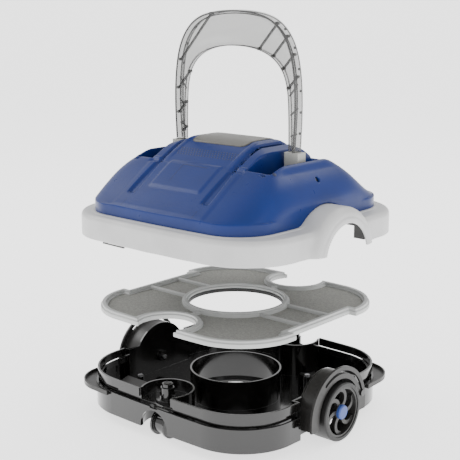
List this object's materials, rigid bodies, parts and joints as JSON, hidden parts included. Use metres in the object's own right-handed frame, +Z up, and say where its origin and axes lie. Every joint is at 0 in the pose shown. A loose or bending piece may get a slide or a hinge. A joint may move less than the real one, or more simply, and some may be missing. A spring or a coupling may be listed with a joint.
{
  "type": "cordless pool cleaner",
  "caption": "Domed rolling pool-floor cleaner with carry handle, lift-off motor cover, flat mesh filter and debris tray on wheels and casters, stored taken apart.",
  "frame": {"origin": "on the floor under the middle of the tray's round well", "axes": "+Z up along the lift-off direction, +X along the drive wheels' axles, -Y towards the front caster"},
  "size_m": [0.364, 0.336, 0.5387],
  "materials": {
    "gloss_black": "gloss",
    "satin_black": "satin",
    "tyre": "satin",
    "caster_black": "satin",
    "steel": "satin",
    "blue_plastic": "gloss",
    "white_plastic": "satin",
    "grey_plastic": "satin",
    "mesh": "woven",
    "seal_rubber": "matte",
    "taupe_plate": "satin",
    "pale_plastic": "satin",
    "battery_wrap": "satin",
    "board_green": "satin",
    "grey_connector": "satin",
    "smoke": "gloss"
  },
  "bodies": {
    "base": {"tray_shell": "gloss_black", "corner_ears": "gloss_black", "fender_knobs": "satin_black", "seat_screws": "steel", "fender_right": "satin_black", "fender_left": "satin_black", "axle_right": "steel", "axle_left": "steel", "caster_post_front": "gloss_black", "caster_post_rear": "gloss_black", "inlet_seat_front": "gloss_black", "inlet_seat_rear": "gloss_black"},
    "wheel_right": {"tyre_right": "tyre", "wheel_rim_right": "satin_black", "hub_cap_right": "blue_plastic"},
    "wheel_left": {"tyre_left": "tyre", "wheel_rim_left": "satin_black", "hub_cap_left": "blue_plastic"},
    "caster_front": {"caster_fork_front": "satin_black", "stem_cap_front": "satin_black", "caster_axle_front": "steel"},
    "caster_roll_front": {"caster_wheel_front": "caster_black"},
    "flap_front": {"inlet_flap_front": "satin_black"},
    "caster_rear": {"caster_fork_rear": "satin_black", "stem_cap_rear": "satin_black", "caster_axle_rear": "steel"},
    "caster_roll_rear": {"caster_wheel_rear": "caster_black"},
    "flap_rear": {"inlet_flap_rear": "satin_black"},
    "filter": {"filter_frame": "grey_plastic", "ring_seal": "seal_rubber", "filter_mesh_front_left": "mesh", "filter_mesh_front_right": "mesh", "filter_mesh_left": "mesh", "filter_mesh_right": "mesh", "filter_mesh_rear_left": "mesh", "filter_mesh_rear_right": "mesh"},
    "cover": {"skirt": "white_plastic", "top_shell": "blue_plastic", "label_plate": "taupe_plate", "charge_socket": "satin_black", "inner_chassis": "satin_black", "latch_strips": "satin_black", "motor_housing": "gloss_black", "housing_seal": "seal_rubber", "housing_lid": "satin_black", "lid_screws": "steel", "battery_pack": "battery_wrap", "drive_motor": "steel", "circuit_board": "board_green", "pump_casing": "satin_black", "jet_duct": "satin_black", "pivot_pins": "steel"},
    "pump_rotor": {"motor_shaft": "steel", "impeller": "pale_plastic"},
    "button": {"power_button": "pale_plastic"},
    "cap": {"charge_cap": "seal_rubber"},
    "handle": {"handle_socket_right": "grey_connector", "handle_socket_left": "grey_connector", "handle_arch": "smoke"}
  },
  "joints": [
    {"name": "wheel_right_spin", "type": "hinge", "parent": "base", "child": "wheel_right", "pos_m": [0.165, 0, 0.0385], "axis": [1, 0, 0], "continuous": true},
    {"name": "wheel_left_spin", "type": "hinge", "parent": "base", "child": "wheel_left", "pos_m": [-0.165, 0, 0.0385], "axis": [1, 0, 0], "continuous": true},
    {"name": "caster_front_swivel", "type": "hinge", "parent": "base", "child": "caster_front", "pos_m": [0, -0.134, 0.045], "axis": [0, 0, 1], "range_deg": [-25, 25]},
    {"name": "caster_front_spin", "type": "hinge", "parent": "caster_front", "child": "caster_roll_front", "pos_m": [0, -0.138, 0.017], "axis": [1, 0, 0], "continuous": true},
    {"name": "flap_front_swing", "type": "hinge", "parent": "base", "child": "flap_front", "pos_m": [-0.088, -0.118, 0.024], "axis": [1, 0, 0], "range_deg": [0, 25]},
    {"name": "caster_rear_swivel", "type": "hinge", "parent": "base", "child": "caster_rear", "pos_m": [0, 0.134, 0.045], "axis": [0, 0, 1], "range_deg": [-25, 25]},
    {"name": "caster_rear_spin", "type": "hinge", "parent": "caster_rear", "child": "caster_roll_rear", "pos_m": [0, 0.138, 0.017], "axis": [1, 0, 0], "continuous": true},
    {"name": "flap_rear_swing", "type": "hinge", "parent": "base", "child": "flap_rear", "pos_m": [0.088, 0.118, 0.024], "axis": [-1, 0, 0], "range_deg": [0, 25]},
    {"name": "filter_lift", "type": "slide", "parent": "base", "child": "filter", "axis": [0, 0, 1], "range_m": [-0.092, 0]},
    {"name": "cover_lift", "type": "slide", "parent": "filter", "child": "cover", "axis": [0, 0, 1], "range_m": [-0.11, 0]},
    {"name": "rotor_spin", "type": "hinge", "parent": "cover", "child": "pump_rotor", "pos_m": [0, 0, 0.282], "axis": [0, 0, 1], "continuous": true},
    {"name": "button_press", "type": "slide", "parent": "cover", "child": "button", "axis": [0, -0.5592, -0.829], "range_m": [0, 0.0015], "stiffness_N_per_m": 400, "springref_m": -0.001},
    {"name": "cap_swing", "type": "hinge", "parent": "cover", "child": "cap", "pos_m": [0.024, 0.09852, 0.32721], "axis": [-1, 0, 0], "range_deg": [0, 100]},
    {"name": "handle_fold", "type": "hinge", "parent": "cover", "child": "handle", "pos_m": [0, 0, 0.333], "axis": [1, 0, 0], "range_deg": [0, 70]}
  ]
}
